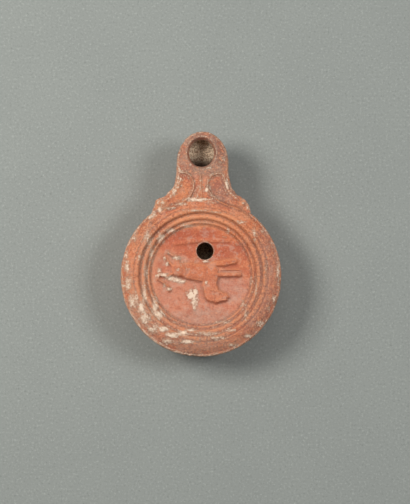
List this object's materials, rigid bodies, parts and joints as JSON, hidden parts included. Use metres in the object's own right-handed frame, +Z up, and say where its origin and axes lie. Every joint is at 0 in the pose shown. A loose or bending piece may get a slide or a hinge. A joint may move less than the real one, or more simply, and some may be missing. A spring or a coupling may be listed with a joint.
{
  "type": "oil lamp",
  "caption": "Roman mould-made clay oil lamp: round hollow bowl, ringed sunk discus with a leaping beast, volute nozzle with wick hole, filling hole in the discus.",
  "frame": {"origin": "centre of the flat base disc on its underside", "axes": "+Z up from the base, +Y from the bowl's centre towards the nozzle, +X to the right when the nozzle points away from the viewer"},
  "size_m": [0.0725, 0.1019, 0.0259],
  "materials": {
    "lamp_clay": "matt fired terracotta with worn red-brown slip and pale lime crust"
  },
  "bodies": {
    "root": {"oil_lamp": "lamp_clay"}
  },
  "joints": []
}
